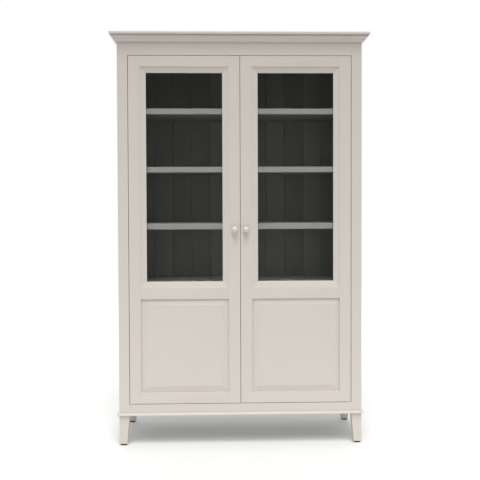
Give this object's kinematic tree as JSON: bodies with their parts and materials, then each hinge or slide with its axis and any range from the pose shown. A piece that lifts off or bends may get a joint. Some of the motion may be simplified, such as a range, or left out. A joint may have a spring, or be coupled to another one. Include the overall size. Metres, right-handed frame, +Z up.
{
  "type": "bookcase with glass doors",
  "caption": "Tall painted bookcase on tapered feet, with two inset doors, glazed above and panelled below, over open shelves.",
  "frame": {"origin": "on the floor, under the middle of the box that holds the closed bookcase", "axes": "+Z up, +X to the right of someone facing the doors, +Y from the doors to the back"},
  "size_m": [1.374, 0.487, 2.2],
  "materials": {
    "body_paint": "satin paint",
    "back_paint": "dull dark grey paint",
    "shelf_paint": "satin grey paint",
    "knob_paint": "gloss cream paint",
    "clear_glass": "polished, clear",
    "pivot_brass": "satin",
    "strike_steel": "zinc plated",
    "pin_steel": "nickel plated",
    "catch_plastic": "moulded",
    "glide_plastic": "moulded"
  },
  "bodies": {
    "carcass": {"back_board_01": "back_paint", "back_board_02": "back_paint", "back_board_03": "back_paint", "back_board_04": "back_paint", "back_board_05": "back_paint", "back_board_06": "back_paint", "back_board_07": "back_paint", "back_board_08": "back_paint", "back_board_09": "back_paint", "back_board_10": "back_paint", "back_board_11": "back_paint", "base_moulding_front": "body_paint", "base_moulding_left": "body_paint", "base_moulding_right": "body_paint", "bottom_board": "shelf_paint", "corner_post_front_left": "body_paint", "corner_post_front_right": "body_paint", "corner_post_rear_left": "body_paint", "corner_post_rear_right": "body_paint", "crown_front": "body_paint", "crown_left": "body_paint", "crown_right": "body_paint", "face_rail_bottom": "body_paint", "face_rail_top": "body_paint", "fixed_shelf": "shelf_paint", "foot_glides": "glide_plastic", "frame_pivot_plates": "pivot_brass", "magnetic_catches": "catch_plastic", "shelf_lower": "shelf_paint", "shelf_middle": "shelf_paint", "shelf_pins": "pin_steel", "shelf_upper": "shelf_paint", "side_panel_left": "body_paint", "side_panel_right": "body_paint", "top_board": "back_paint", "top_cap": "body_paint"},
    "door_left": {"door_left_bottom_rail": "body_paint", "door_left_glass": "clear_glass", "door_left_glazing_beads": "body_paint", "door_left_glazing_frame": "body_paint", "door_left_hinge_stile": "body_paint", "door_left_knob": "knob_paint", "door_left_meeting_stile": "body_paint", "door_left_middle_rail": "body_paint", "door_left_pivots": "pivot_brass", "door_left_raised_panel": "body_paint", "door_left_strike_plates": "strike_steel", "door_left_top_rail": "body_paint"},
    "door_right": {"door_right_bottom_rail": "body_paint", "door_right_glass": "clear_glass", "door_right_glazing_beads": "body_paint", "door_right_glazing_frame": "body_paint", "door_right_hinge_stile": "body_paint", "door_right_knob": "knob_paint", "door_right_meeting_stile": "body_paint", "door_right_middle_rail": "body_paint", "door_right_pivots": "pivot_brass", "door_right_raised_panel": "body_paint", "door_right_strike_plates": "strike_steel", "door_right_top_rail": "body_paint"}
  },
  "joints": [
    {"name": "door_left_pivot", "type": "hinge", "parent": "carcass", "child": "door_left", "pos_m": [-0.5795, -0.199, 0.2235], "axis": [0, 0, -1], "range_deg": [0, 110]},
    {"name": "door_right_pivot", "type": "hinge", "parent": "carcass", "child": "door_right", "pos_m": [0.5795, -0.199, 0.2235], "axis": [0, 0, 1], "range_deg": [0, 110]}
  ]
}
